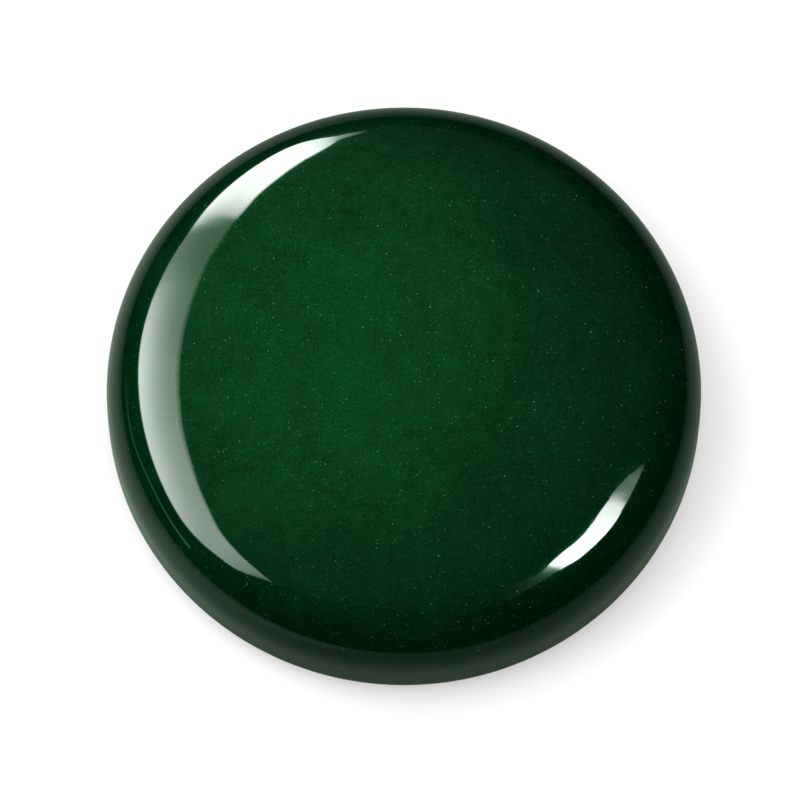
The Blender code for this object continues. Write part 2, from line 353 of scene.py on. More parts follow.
def enamel():
    n = Nodes("enamel_green")
    mm = n.mm
    large = n.noise(mm, 1 / 15, 3, 0.55)
    mid = n.noise(mm, 1 / 3.0, 4, 0.6, 0.4)
    grain = n.noise(mm, 1 / 0.40, 3, 0.75)
    wx = n.noise(n.vec("MULTIPLY", mm, (1 / 5.0, 1 / 0.55, 1 / 0.55)), 1.0, 2, 0.5)
    wy = n.noise(n.vec("MULTIPLY", mm, (1 / 0.55, 1 / 5.0, 1 / 0.55)), 1.0, 2, 0.5)
    f = 0.5
    for value, amount in ((large, 0.6), (mid, 0.55), (grain, 1.7), (wx, 0.25), (wy, 0.25)):
        f = n.math("ADD", f, n.math("MULTIPLY", n.math("SUBTRACT", value, 0.5), amount))
    f = n.ramp(f, 0.0, 1.0, kind="LINEAR")
    body = n.mix(f, (0.0001, 0.0083, 0.0014), (0.0016, 0.0400, 0.0098))
    # painted light and shade: a lighter patch left of centre that fades away from it, and darker towards the rim
    painted_shade = n.ramp(n.radius(), 42.0, 53.0, 1.0, 0.55)
    from_lit_patch = n.vec("DISTANCE", n.vec("MULTIPLY", mm, (1, 1, 0)), (-14.0, 6.0, 0.0))
    painted_shade = n.math("MULTIPLY", painted_shade, n.ramp(from_lit_patch, 8.0, 64.0, 1.25, 0.42))
    # specks in the glaze, many of them strung along fine wandering lines; their sparkle is a painted glint of random
    # strength in the colour
    warp = n.vec("ADD", mm, n.vec("SCALE", n.noise(mm, 1 / 6.0, 2, 0.5, colour=True), scale=7.0))
    lines = n.voronoi(warp, 1 / 7.5, "DISTANCE_TO_EDGE").outputs["Distance"]
    lines = n.math("MULTIPLY", n.ramp(lines, 0.0, 0.05, 1.0, 0.0), n.ramp(n.noise(mm, 1 / 8.0, 1), 0.44, 0.56))
    glints = 0.0
    for spacing, keep, pull, reach in ((0.50, 0.77, 0.34, 0.25), (0.80, 0.94, 0.74, 0.21)):
        dots = n.voronoi(mm, 1 / spacing)
        pick = n.nt.nodes.new("ShaderNodeSeparateColor")
        n.put(pick.inputs[0], dots.outputs["Color"])
        bar = n.math("SUBTRACT", keep, n.math("MULTIPLY", lines, pull))
        on = n.math("GREATER_THAN", pick.outputs[0], bar)
        size = n.ramp(dots.outputs["Distance"], 0.08, reach, 1.0, 0.0)
        shine = n.math("ADD", 0.13, n.math("MULTIPLY", n.math("POWER", pick.outputs[1], 7.0), 0.75))
        glints = n.math("ADD", glints, n.math("MULTIPLY", n.math("MULTIPLY", on, size), shine))
    speck = n.math("MINIMUM", glints, 1.0)
    body = n.mix(1.0, body, n.grey(painted_shade), "MULTIPLY")
    # the specks dim under the same painted shade
    speck = n.math("MULTIPLY", speck, n.math("MULTIPLY_ADD", painted_shade, 0.42, 0.30))
    body = n.mix(speck, body, (0.11, 0.40, 0.22))
    peel = n.noise(mm, 1 / 7.0, 2, 0.45)
    return n.set(
        base_color=body, roughness=0.12, specular_ior_level=0.12, specular_tint=(0.02, 0.62, 0.22, 1.0),
        normal=n.bump(grain, 0.000004, 0.5),
        coat_weight=1.0, coat_roughness=0.03, coat_ior=1.5,
        coat_normal=n.bump(peel, 0.00003, 0.35),
    )


def brass(name, colour, rough, lines):
    n = Nodes(name)
    lathe = n.lathe_space()
    fine = n.noise(lathe, 9.0, 3, 0.7)
    wide = n.noise(n.mm, 1 / 9.0, 4, 0.6)
    spots = n.noise(n.mm, 1 / 1.3, 3, 0.6)
    dark = tuple(c * k for c, k in zip(colour, (0.62, 0.55, 0.42)))
    tarnish = n.math("MULTIPLY", n.ramp(wide, 0.42, 0.75), n.ramp(spots, 0.3, 0.8))
    body = n.mix(n.math("MULTIPLY", tarnish, 0.55), colour, dark)
    body = n.mix(n.math("MULTIPLY", n.ramp(fine, 0.35, 0.65), 0.16), body, tuple(min(1, c * 1.16) for c in colour))
    rough_now = n.math("ADD", rough, n.math("MULTIPLY", n.math("SUBTRACT", fine, 0.5), 0.16))
    rough_now = n.math("ADD", rough_now, n.math("MULTIPLY", tarnish, 0.16))
    return n.set(base_color=body, metallic=1.0, roughness=rough_now, normal=n.bump(fine, 0.00001 * lines, 0.6))


def steel(name, colour, rough):
    n = Nodes(name)
    fine = n.noise(n.vec("MULTIPLY", n.mm, (4, 4, 18)), 1.0, 3, 0.6)
    stain = n.noise(n.mm, 1 / 2.5, 3, 0.6)
    body = n.mix(n.ramp(stain, 0.4, 0.75), colour, tuple(c * 0.62 for c in colour))
    return n.set(base_color=body, metallic=1.0,
                 roughness=n.math("ADD", rough, n.math("MULTIPLY", fine, 0.14)), normal=n.bump(fine, 0.00001, 0.5))


def iron():
    n = Nodes("cast_iron")
    cast = n.noise(n.mm, 1 / 0.5, 5, 0.65)
    rust = n.noise(n.mm, 1 / 5.0, 4, 0.6)
    body = n.mix(n.ramp(rust, 0.55, 0.8), (0.045, 0.045, 0.048), (0.11, 0.055, 0.03))
    return n.set(base_color=body, metallic=0.85, roughness=n.ramp(cast, 0.2, 0.8, 0.5, 0.75, "LINEAR"),
                 normal=n.bump(cast, 0.00012, 0.7))


def rubber(name="black_rubber"):
    n = Nodes(name)
    fine = n.noise(n.mm, 1 / 0.15, 3, 0.6)
    dust = n.noise(n.mm, 1 / 3.0, 4, 0.65)
    ring = n.noise(n.lathe_space(), 3.0, 2, 0.5)
    body = n.mix(n.ramp(dust, 0.45, 0.8), (0.012, 0.012, 0.013), (0.030, 0.030, 0.030))
    body = n.mix(n.math("MULTIPLY", n.ramp(ring, 0.5, 0.7), 0.35), body, (0.022, 0.022, 0.023))
    return n.set(base_color=body, roughness=n.ramp(fine, 0.2, 0.8, 0.5, 0.68, "LINEAR"),
                 specular_ior_level=0.4, normal=n.bump(fine, 0.00003, 0.5))


def leather():
    n = Nodes("foot_leather")
    warp = n.vec("ADD", n.mm, n.vec("SCALE", n.noise(n.mm, 1 / 1.2, 2, colour=True), scale=0.7))
    cells = n.voronoi(warp, 1 / 0.95, "DISTANCE_TO_EDGE").outputs["Distance"]
    grain = n.ramp(cells, 0.0, 0.22)
    tiny = n.noise(n.mm, 1 / 0.2, 3, 0.6)
    wide = n.noise(n.mm, 1 / 12.0, 4, 0.6)
    body = n.mix(n.ramp(wide, 0.3, 0.7), (0.007, 0.024, 0.013), (0.018, 0.050, 0.028))
    body = n.mix(grain, tuple(c * 0.4 for c in (0.010, 0.030, 0.017)), body)
    # rubbed paler at the rim of the pad, where it takes the weight
    worn = n.math("MULTIPLY", n.ramp(n.radius(), 38.0, 43.4), n.ramp(tiny, 0.35, 0.65))
    body = n.mix(n.math("MULTIPLY", worn, 0.45), body, (0.060, 0.085, 0.055))
    height = n.math("ADD", grain, n.math("MULTIPLY", tiny, 0.3))
    return n.set(base_color=body, roughness=n.ramp(grain, 0.0, 1.0, 0.8, 0.58, "LINEAR"),
                 specular_ior_level=0.35, normal=n.bump(height, 0.00012, 0.7))


def glass():
    n = Nodes("clear_glass")
    # a faint film of old ink in the bottom of the chamber and a tide line above it
    h = n.height()
    wob = n.noise(n.mm, 1 / 4.0, 3, 0.6)
    level = n.math("ADD", h, n.math("MULTIPLY", wob, 1.2))
    film = n.ramp(level, 7.1, 9.4, 1.0, 0.0)
    inside = n.ramp(n.radius(), 21.6, 22.4, 1.0, 0.0)
    over = n.ramp(h, 6.3, 6.5)
    stain = n.math("MULTIPLY", n.math("MULTIPLY", film, inside), over)
    body = n.mix(n.math("MULTIPLY", stain, 0.55), (0.93, 0.975, 0.96), (0.10, 0.16, 0.42))
    ripple = n.noise(n.lathe_space(), 0.5, 2, 0.5)
    return n.set(base_color=body, roughness=n.ramp(stain, 0.0, 1.0, 0.012, 0.16, "LINEAR"), ior=1.52,
                 transmission_weight=1.0, normal=n.bump(ripple, 0.00003, 0.5))


ENAMEL = enamel()
BRASS = brass("brass_satin", (0.72, 0.53, 0.27), 0.34, 3)
BRASS_BRIGHT = brass("brass_polished", (0.80, 0.60, 0.31), 0.17, 1)
STEEL = steel("spring_steel", (0.55, 0.56, 0.58), 0.2)
IRON = iron()
RUBBER = rubber()
LEATHER = leather()
GLASS = glass()

# ---------------------------------------------------------------- the cover
top_z = upper(1e-9)[1]
outer = [(0, top_z)]
outer += [(r, top_z - CROWN * (r / R) ** 2) for r in (3, 8, 14, 20, 26)]
slopes = [1.2, 1.6, 2, 2.6, 3.3, 4.2, 5.3, 6.6, 8] + [9.5 + 2.4 * i for i in range(33)]
outer += [at_slope(s) for s in slopes if s < 88.5]
outer += [(R, Z_HIGH - 0.6), (R, 11.3), (R, Z_LOW + 0.3)]
edge = under_angle(5.4)
outer += [under(a) for a in [edge * i / 10 for i in range(11)][:-1]]
lip = [(*under(edge), 0.28), (*under(under_angle(5.4, R_UNDER - WALL_COVER), R_UNDER - WALL_COVER), 0.28)]
inner = [under(a, R_UNDER - WALL_COVER) for a in (25, 18, 11, 5)]
inner += [(R - WALL_COVER, Z_LOW + 0.2), (R - WALL_COVER, Z_HIGH)]
inner += [inset(at_slope(s), s, WALL_COVER) for s in [86 - 4 * i for i in range(21)]]
inner += [(24, top_z - WALL_COVER - 0.1), (10, top_z - WALL_COVER), (0, top_z - WALL_COVER)]
shell = turned("cover_shell_fine", outer + rounded(lip, closed=False) + inner, 256, closed=False, smooth=60)
# the lip's two corners need their neighbours to be rounded
place(shell, "cover", "cover_shell", ENAMEL)

a0, a1 = under_angle(4.75), under_angle(5.25)
rim = turned("cover_rim_fine", rounded([
    (51.6, 4.75, 0.2), (*under(a0), 0.16), (*under(a1), 0.1), (52.3, 5.25, 0.05), (52.3, 6.6, 0.12), (51.6, 6.6, 0.2)]), 256)
place(rim, "cover", "cover_rim", BRASS_BRIGHT)

lining = turned("cover_lining_fine", rounded([
    (51.95, 6.85, 0.1), (52.55, 6.85, 0.1), (52.5, 16.0, 4), (52.0, 18.0, 3), (50.6, 20.2, 3), (48.4, 21.7, 3), (46.0, 22.2, 2),
    (41.6, 22.2, 0.3), (41.2, 22.45, 0.3), (39.2, 22.45, 0.3), (38.8, 22.2, 0.3),
    (10.6, 22.2, 0.3), (10.2, 22.45, 0.3), (8.4, 22.45, 0.3), (8.0, 22.2, 0.3),
    (3.5, 22.2, 0.1), (3.5, 21.6, 0.1),
    (8.1, 21.6, 0.3), (8.5, 21.85, 0.3), (10.1, 21.85, 0.3), (10.5, 21.6, 0.3),
    (38.9, 21.6, 0.3), (39.3, 21.85, 0.3), (41.1, 21.85, 0.3), (41.5, 21.6, 0.3),
    (45.9, 21.6, 2), (48.0, 21.15, 3), (50.1, 19.8, 3), (51.4, 17.8, 3), (51.9, 16.0, 4)]), 192)
place(lining, "cover", "cover_lining", BRASS)

# ------------------------------------------------------------- the seal head
guide = turned("seal_guide_fine", rounded([
    (1.8, 20.8, 0.12), (6.5, 20.8, 0.15), (6.5, 21.15, 0.1), (6.2, 21.4, 0.1), (3.2, 21.4, 0.08), (3.2, 22.75, 0.2), (1.8, 22.75, 0.15)]), 64)
place(guide, "seal_head", "seal_guide", BRASS_BRIGHT)
washer = turned("guide_washer_fine", rounded([
    (3.4, 22.35, 0.06), (5.6, 22.35, 0.08), (5.6, 22.65, 0.12), (3.4, 22.65, 0.06)]), 64)
place(washer, "seal_head", "guide_washer", BRASS_BRIGHT)


def coil(name, turns, steps, sides, wire):
    """The conical spring as a swept tube with closed round ends."""
    bm = bmesh.new()
    pts = []
    for i in range(steps + 1):
        f = i / steps
        free = min(max((f - 0.18) / 0.64, 0.0), 1.0)
        free = free * free * (3 - 2 * free)
        r = 12.5 + (4.6 - 12.5) * f
        z = 19.1 + (20.45 - 19.1) * free
        a = 2 * math.pi * turns * f
        pts.append(Vector((r * math.cos(a), r * math.sin(a), z)))
    rings = []
    for i, p in enumerate(pts):
        t = (pts[min(i + 1, steps)] - pts[max(i - 1, 0)]).normalized()
        side = t.cross(Vector((0, 0, 1))).normalized()
        lift = side.cross(t).normalized()
        rings.append([bm.verts.new(p + (side * math.cos(b) + lift * math.sin(b)) * wire / 2)
                      for b in (2 * math.pi * k / sides for k in range(sides))])
    for one, two in zip(rings, rings[1:]):
        for k in range(sides):
            n = (k + 1) % sides
            bm.faces.new((one[k], one[n], two[n], two[k]))
    bm.faces.new(rings[0][::-1])
    bm.faces.new(rings[-1])
    return mesh_from(bm, name, 50)


spring = coil("seal_spring_fine", 3.0, 150, 10, 0.5)
place(spring, "seal_head", "seal_spring", STEEL)
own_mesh(spring)

plate = turned("seal_plate_fine", rounded([
    (0, 17.75), (19.8, 17.75, 0.1), (19.8, 18.5, 0.2), (19.5, 18.75, 0.15), (14.6, 18.75, 0.15), (14.4, 18.6, 0.1), (13.9, 18.6, 0.1), (13.7, 18.75, 0.15),
    (1.7, 18.75, 0.2), (1.5, 18.95, 0.2), (1.5, 22.8, 0.05), (1.1, 22.8, 0.05), (1.1, 23.15, 0.05),
    (1.5, 23.15, 0.05), (1.5, 23.28, 0.05), (1.38, 23.4, 0.05), (0, 23.4)], closed=False), 128, closed=False)
place(plate, "seal_press", "seal_plate", BRASS_BRIGHT)
pad = turned("seal_pad_fine", rounded([
    (0, 16.72), (15.6, 16.72, 0.3), (16.0, 16.6, 0.2), (19.2, 16.6, 0.35), (19.6, 16.9, 0.2), (19.6, 17.6, 0.12), (0, 17.6)], closed=False), 128, closed=False)
place(pad, "seal_press", "seal_pad", RUBBER)
clip = turned("stem_clip_fine", rounded([(1.25, 22.87, 0.04), (2.9, 22.87, 0.06), (2.9, 23.1, 0.06), (1.25, 23.1, 0.04)]), 64)
clip = carve(clip, [box("mouth", (3.0, 1.9, 1.2), (2.4, 0, 23.0))])
place(clip, "seal_press", "stem_clip", STEEL)

# ---------------------------------------------------------------- the insert
well = turned("well_glass_fine", rounded([
    (0, 5.3), (24.0, 5.3, 0.5), (25.0, 6.3, 0.8), (25.0, 10.3, 1.2), (24.2, 11.5, 1.5), (22.4, 12.3, 1.5), (18.6, 13.0, 0.3),
    (18.6, 15.5, 0.3), (17.9, 16.0, 0.4), (16.8, 15.9, 0.5), (16.2, 15.2, 0.8), (16.2, 13.4, 1.0), (17.4, 12.2, 1.5),
    (20.6, 11.0, 1.5), (22.2, 9.6, 1.2), (22.0, 8.5, 0.8), (20.2, 7.5, 1.5), (14.0, 7.0, 8), (0, 6.6)],
    closed=False, steps=6), 160, closed=False, smooth=70)
place(well, "well", "well_glass", GLASS)


def knurl(r, z, a):
    if r < 20.7 or not 13.75 < z < 15.95:
        return r
    return r - 0.16 * (0.5 - 0.5 * math.cos(110 * a))


band = [(20.7, 13.3, 0.1), (21.0, 13.6, 0.1), (21.0, 13.72), (21.0, 13.80), (21.0, 14.5), (21.0, 15.2), (21.0, 15.88), (21.0, 15.97), (21.0, 16.05, 0.08)]
collar = turned("well_collar_fine", rounded(
    [(18.9, 13.3, 0.08)] + band + [(20.65, 16.4, 0.15), (17.1, 16.4, 0.12), (16.9, 16.3, 0.05), (17.1, 16.2, 0.05), (18.9, 16.2, 0.1)]),
    660, shape=knurl, smooth=50)
place(collar, "well", "well_collar", BRASS_BRIGHT)

# ------------------------------------------------------------------- the base
foot = turned("foot_pad_fine", rounded([(0, 0), (43.2, 0, 0.5), (43.6, 0.4, 0.4), (43.6, 1.35, 0.2), (0, 1.35)], closed=False), 160, closed=False)
place(foot, "base", "foot_pad", LEATHER)


def polar(radius, degrees):
    a = math.radians(degrees)
    return radius * math.cos(a), radius * math.sin(a)


e0 = under_angle(3.7)
dish = [(0, 1.6), (44.0, 1.6, 0.2), (44.0, 0.85, 0.1), (44.3, 0.6, 0.15), (47.0, 0.6)]
dish += [under(a) for a in (84, 77, 70, 63, 56, 50, 45)]
dish += [(*under(e0), 0.25), (*under(under_angle(3.7, R_UNDER - WALL_BASE), R_UNDER - WALL_BASE), 0.25), (50.4, 3.0, 0.3), (0, 3.0)]
dish = turned("base_shell_fine", rounded(dish, closed=False), 256, closed=False)
sinks = []
for k, angle in enumerate((30, 150, 270)):
    x, y = polar(38.0, angle)
    sinks.append(moved(turned(f"sink{k}", [(0, 1.2), (2.75, 1.2), (2.75, 1.95), (1.6, 3.05), (1.6, 3.6), (0, 3.6)], 48, closed=False), x, y))
dish = carve(dish, sinks)
place(dish, "base", "base_shell", ENAMEL)

b0, b1 = under_angle(3.85), under_angle(4.35)
seat = turned("base_rim_fine", rounded([
    (49.4, 3.85, 0.1), (*under(b0), 0.1), (*under(b1), 0.16), (51.2, 4.35, 0.05), (51.2, 5.2, 0.08), (50.3, 5.2, 0.08), (50.3, 6.35, 0.08),
    (51.2, 6.35, 0.12), (51.2, 8.65, 0.3), (50.85, 9.0, 0.2), (49.4, 9.0, 0.25)]), 256)
place(seat, "base", "base_rim", BRASS_BRIGHT)

ring = turned("spigot_ring_fine", [(50.92 + 0.42 * math.cos(math.radians(a)), 5.78 + 0.42 * math.sin(math.radians(a))) for a in range(0, 360, 24)], 192)
place(ring, "base", "spigot_ring", RUBBER)

weight = turned("ballast_ring_fine", rounded([(27.4, 3.3, 0.4), (47.3, 3.3, 0.4), (47.3, 7.0, 0.5), (27.4, 7.0, 0.5)]), 160)
holes = []
for angle in (30, 90, 150, 210, 270, 330):
    x, y = polar(38.0, angle)
    holes.append(moved(turned(f"hole{angle}", [(0, 3.0), (1.6, 3.0), (1.6, 7.6), (0, 7.6)], 40, closed=False), x, y))
weight = carve(weight, holes)
place(weight, "base", "ballast_ring", IRON)

deck = turned("deck_tray_fine", rounded([
    (27.2, 7.3, 0.15), (49.1, 7.3, 0.15), (49.1, 8.9, 0.2), (48.4, 8.9, 0.2), (47.6, 8.1, 0.6),
    (44.6, 8.1, 0.15), (44.35, 7.85, 0.15), (43.85, 7.85, 0.15), (43.6, 8.1, 0.15),
    (32.4, 8.1, 0.15), (32.15, 7.85, 0.15), (31.65, 7.85, 0.15), (31.4, 8.1, 0.15),
    (28.7, 8.1, 0.5), (28.0, 8.8, 0.2), (27.2, 8.8, 0.2)]), 224)
holes = []
for angle in (90, 210, 330):
    x, y = polar(38.0, angle)
    holes.append(moved(turned(f"deckhole{angle}", [(0, 7.0), (1.6, 7.0), (1.6, 8.6), (0, 8.6)], 40, closed=False), x, y))
deck = carve(deck, holes)
place(deck, "base", "deck_tray", BRASS)

socket = turned("well_socket_fine", rounded([
    (0, 3.3), (26.9, 3.3, 0.3), (26.9, 9.9, 0.2), (27.3, 10.2, 0.15), (27.3, 10.8, 0.2), (26.8, 11.1, 0.2),
    (25.9, 11.1, 0.25), (25.5, 10.7, 0.3), (25.5, 4.1, 0.4), (0, 4.1)], closed=False), 160, closed=False)
place(socket, "base", "well_socket", BRASS)
cushion = turned("well_cushion_fine", rounded([(0, 4.3), (24.4, 4.3, 0.2), (24.4, 5.1, 0.25), (0, 5.1)], closed=False), 128, closed=False)
place(cushion, "base", "well_cushion", RUBBER)

for k, angle in enumerate((90, 210, 330), 1):
    x, y = polar(38.0, angle)
    s = turned(f"deck_screw_{k}_fine", rounded([
        (0, 4.4), (0.9, 4.4, 0.1), (1.25, 4.75, 0.1), (1.25, 8.25, 0.1), (2.5, 8.25, 0.1), (2.5, 9.1, 0.25), (2.1, 9.36, 0.5), (0, 9.4)],
        closed=False), 64, closed=False)
    s = carve(moved(s, x, y), [box("slot", (8.0, 0.7, 1.4), (x, y, 9.4), angle + 35 * k)], bevel=0.05)
    place(s, "base", f"deck_screw_{k}", BRASS_BRIGHT)

for k, angle in enumerate((30, 150, 270), 1):
    x, y = polar(38.0, angle)
    s = turned(f"base_screw_{k}_fine", rounded([
        (0, 1.65), (2.4, 1.65, 0.08), (2.4, 1.85, 0.08), (1.25, 2.95, 0.2), (1.25, 6.0, 0.1), (0.9, 6.35, 0.1), (0, 6.35)],
        closed=False), 48, closed=False)
    s = carve(moved(s, x, y), [box("slot", (8.0, 0.7, 1.1), (x, y, 1.65), angle + 20 * k)], bevel=0.04)
    place(s, "base", f"base_screw_{k}", STEEL)

# ---------------------------------------------------------------------- stage
def stage_plane(name, corners, mat):
    me = bpy.data.meshes.new(name)
    me.from_pydata([Vector(c) for c in corners], [], [tuple(range(len(corners)))])
    me.materials.append(mat)
    o = bpy.data.objects.new(name, me)
    bpy.context.scene.collection.objects.link(o)
    o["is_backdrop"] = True
    return o


floor_mat = bpy.data.materials.new("pale_floor")
floor_mat.use_nodes = True
fb = floor_mat.node_tree.nodes["Principled BSDF"]
fb.inputs["Base Color"].default_value = (0.86, 0.855, 0.86, 1)
fb.inputs["Roughness"].default_value = 0.9
fb.inputs["Specular IOR Level"].default_value = 0.0
# as the gloss sees it, the floor is a painted reflection: a dim green-grey, paler to the left, with painted shade in
# front of the object and further out, so that the enamel's rim shows a dark green band
fnt = floor_mat.node_tree
dim = fnt.nodes.new("ShaderNodeBsdfDiffuse")
where = fnt.nodes.new("ShaderNodeTexCoord")
parts = fnt.nodes.new("ShaderNodeSeparateXYZ")
fnt.links.new(where.outputs["Object"], parts.inputs[0])
side = fnt.nodes.new("ShaderNodeMapRange")
side.interpolation_type = "SMOOTHSTEP"
fnt.links.new(parts.outputs[0], side.inputs[0])
side.inputs[1].default_value, side.inputs[2].default_value = -0.088, -0.02
tone = fnt.nodes.new("ShaderNodeMix")
tone.data_type = "RGBA"
fnt.links.new(side.outputs[0], tone.inputs["Factor"])
tone.inputs[6].default_value = (0.225, 0.29, 0.235, 1)
tone.inputs[7].default_value = (0.112, 0.158, 0.122, 1)
near = fnt.nodes.new("ShaderNodeVectorMath")
near.operation = "DISTANCE"
fnt.links.new(where.outputs["Object"], near.inputs[0])
near.inputs[1].default_value = (0.0, -0.085, 0.0)
front = fnt.nodes.new("ShaderNodeMapRange")
front.interpolation_type = "SMOOTHSTEP"
fnt.links.new(near.outputs["Value"], front.inputs[0])
for i, v in enumerate((0.035, 0.110, 0.64, 1.0)):
    front.inputs[i + 1].default_value = v
reach = fnt.nodes.new("ShaderNodeVectorMath")
reach.operation = "LENGTH"
fnt.links.new(where.outputs["Object"], reach.inputs[0])
far = fnt.nodes.new("ShaderNodeMapRange")
fnt.links.new(reach.outputs["Value"], far.inputs[0])
for i, v in enumerate((0.068, 0.25, 1.04, 0.50)):
    far.inputs[i + 1].default_value = v
level = fnt.nodes.new("ShaderNodeMath")
level.operation = "MULTIPLY"
fnt.links.new(front.outputs[0], level.inputs[0])
fnt.links.new(far.outputs[0], level.inputs[1])
shade = fnt.nodes.new("ShaderNodeVectorMath")
shade.operation = "SCALE"
fnt.links.new(tone.outputs[2], shade.inputs[0])
fnt.links.new(level.outputs[0], shade.inputs["Scale"])
fnt.links.new(shade.outputs["Vector"], dim.inputs["Color"])
path = fnt.nodes.new("ShaderNodeLightPath")
both = fnt.nodes.new("ShaderNodeMixShader")
fnt.links.new(path.outputs["Is Glossy Ray"], both.inputs[0])
fnt.links.new(fb.outputs[0], both.inputs[1])
fnt.links.new(dim.outputs[0], both.inputs[2])
# from below the floor is clear, and so is the hair's breadth under the foot, so the underside can be looked at
face = fnt.nodes.new("ShaderNodeNewGeometry")
touching = fnt.nodes.new("ShaderNodeMath")
touching.operation = "LESS_THAN"
fnt.links.new(path.outputs["Ray Length"], touching.inputs[0])
touching.inputs[1].default_value = 0.0004
either = fnt.nodes.new("ShaderNodeMath")
either.operation = "MAXIMUM"
fnt.links.new(face.outputs["Backfacing"], either.inputs[0])
fnt.links.new(touching.outputs[0], either.inputs[1])
clear = fnt.nodes.new("ShaderNodeBsdfTransparent")
last = fnt.nodes.new("ShaderNodeMixShader")
fnt.links.new(either.outputs[0], last.inputs[0])
fnt.links.new(both.outputs[0], last.inputs[1])
fnt.links.new(clear.outputs[0], last.inputs[2])
fnt.links.new(last.outputs[0], fnt.nodes["Material Output"].inputs[0])
F, DROP = 4.0, -0.0001
stage_plane("floor", [(-F, -F, DROP), (F, -F, DROP), (F, F, DROP), (-F, F, DROP)], floor_mat)

# Reflection cards: they show in the gloss only.  Corners are given on the plane
# one metre above the object's top, as (x, y) there.
CARD_Z = 0.024


def card(name, corners, high, low=None, start=None, end=None, z=1.0):
    """An emitting card.  With low, its strength runs from high at start to low at end."""
    m = bpy.data.materials.new(name)
    m.use_nodes = True
    nt = m.node_tree
    nt.nodes.clear()
    out = nt.nodes.new("ShaderNodeOutputMaterial")
    em = nt.nodes.new("ShaderNodeEmission")
    em.inputs["Color"].default_value = (1, 1, 1, 1)
    em.inputs["Strength"].default_value = high
    nt.links.new(em.outputs[0], out.inputs[0])
    if low is not None:
        tc = nt.nodes.new("ShaderNodeTexCoord")
        sub = nt.nodes.new("ShaderNodeVectorMath")
        sub.operation = "SUBTRACT"
        nt.links.new(tc.outputs["Object"], sub.inputs[0])
        sub.inputs[1].default_value = (*start, 0)
        dot = nt.nodes.new("ShaderNodeVectorMath")
        dot.operation = "DOT_PRODUCT"
        d = Vector(end) - Vector(start)
        nt.links.new(sub.outputs[0], dot.inputs[0])
        dot.inputs[1].default_value = (*(d / d.length_squared), 0)
        mr = nt.nodes.new("ShaderNodeMapRange")
        mr.interpolation_type = "SMOOTHSTEP"
        nt.links.new(dot.outputs["Value"], mr.inputs[0])
        mr.inputs[3].default_value, mr.inputs[4].default_value = high, low
        nt.links.new(mr.outputs[0], em.inputs["Strength"])
    o = stage_plane(name, [(x * z, y * z, 0) for x, y in corners], m)
    o.location.z = CARD_Z + z
    o.visible_camera = o.visible_diffuse = o.visible_shadow = False
    o.visible_volume_scatter = False
    return o


def glow_sheet(name, rows, reach=1.3, soft=0.07, colour=(1, 1, 1), along=8, across=14):
    """A glowing band on a dome round the object, seen in the gloss only.

    Each row is one end-to-end pair of directions (azimuth, elevation), and the
    strength at each of the two; the strength eases between rows."""
    def spot(direction):
        az, el = (math.radians(v) for v in direction)
        return Vector((math.cos(az) * math.cos(el), math.sin(az) * math.cos(el), math.sin(el)))

    def through(p, q, r, s, t):
        return 0.5 * (2 * q + (r - p) * t + (2 * p - 5 * q + 4 * r - s) * t * t + (3 * q - p - 3 * r + s) * t ** 3)

    ends = [(spot(a), spot(b), Vector((ga, gb))) for a, b, ga, gb in rows]
    last = len(ends) - 1
    lines = []
    for i in range(last):
        for k in range(along + (i == last - 1)):
            t = k / along
            four = [ends[min(max(j, 0), last)] for j in (i - 1, i, i + 1, i + 2)]
            one = through(*(e[0] for e in four), t).normalized()
            two = through(*(e[1] for e in four), t).normalized()
            lines.append((one, two, ends[i][2].lerp(ends[i + 1][2], t)))
    bm = bmesh.new()
    layer = bm.verts.layers.float.new("glow")
    grid = []
    for one, two, g in lines:
        row = []
        for j in range(across + 1):
            f = j / across
            f = f * f * (3 - 2 * f) if 0 < f < 1 else f
            v = bm.verts.new(one.lerp(two, f).normalized() * reach)
            ease = f * f * (3 - 2 * f)
            edge = min(1.0, (min(f, 1 - f) + 0.02) / max(soft, 0.02))
            v[layer] = max(0.0, (g[0] + (g[1] - g[0]) * ease) * edge)
            row.append(v)
        grid.append(row)
    for i in range(len(grid) - 1):
        for j in range(across):
            bm.faces.new((grid[i][j], grid[i + 1][j], grid[i + 1][j + 1], grid[i][j + 1]))
    me = bpy.data.meshes.new(name)
    bm.to_mesh(me)
    bm.free()
    m = bpy.data.materials.new(name)
    m.use_nodes = True
    nt = m.node_tree
    nt.nodes.clear()
    out = nt.nodes.new("ShaderNodeOutputMaterial")
    em = nt.nodes.new("ShaderNodeEmission")
    at = nt.nodes.new("ShaderNodeAttribute")
    at.attribute_name = "glow"
    nt.links.new(at.outputs["Fac"], em.inputs["Strength"])
    # the fainter it is, the more of the glaze's own green it carries
    weak = nt.nodes.new("ShaderNodeMapRange")
    nt.links.new(at.outputs["Fac"], weak.inputs[0])
    weak.inputs[1].default_value, weak.inputs[2].default_value = 1.0, 9.0
    tint = nt.nodes.new("ShaderNodeMix")
    tint.data_type = "RGBA"
    nt.links.new(weak.outputs[0], tint.inputs["Factor"])
    tint.inputs[6].default_value = (0.78 * colour[0], 1.0 * colour[1], 0.84 * colour[2], 1)
    tint.inputs[7].default_value = (1.0 * colour[0], 0.985 * colour[1], 0.985 * colour[2], 1)
    nt.links.new(tint.outputs[2], em.inputs["Color"])
    nt.links.new(em.outputs[0], out.inputs[0])
    me.materials.append(m)
    o = bpy.data.objects.new(name, me)
    bpy.context.scene.collection.objects.link(o)
    o.location.z = CARD_Z
    o.visible_camera = o.visible_diffuse = o.visible_shadow = False
    o.visible_volume_scatter = False
    o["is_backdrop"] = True
    return o


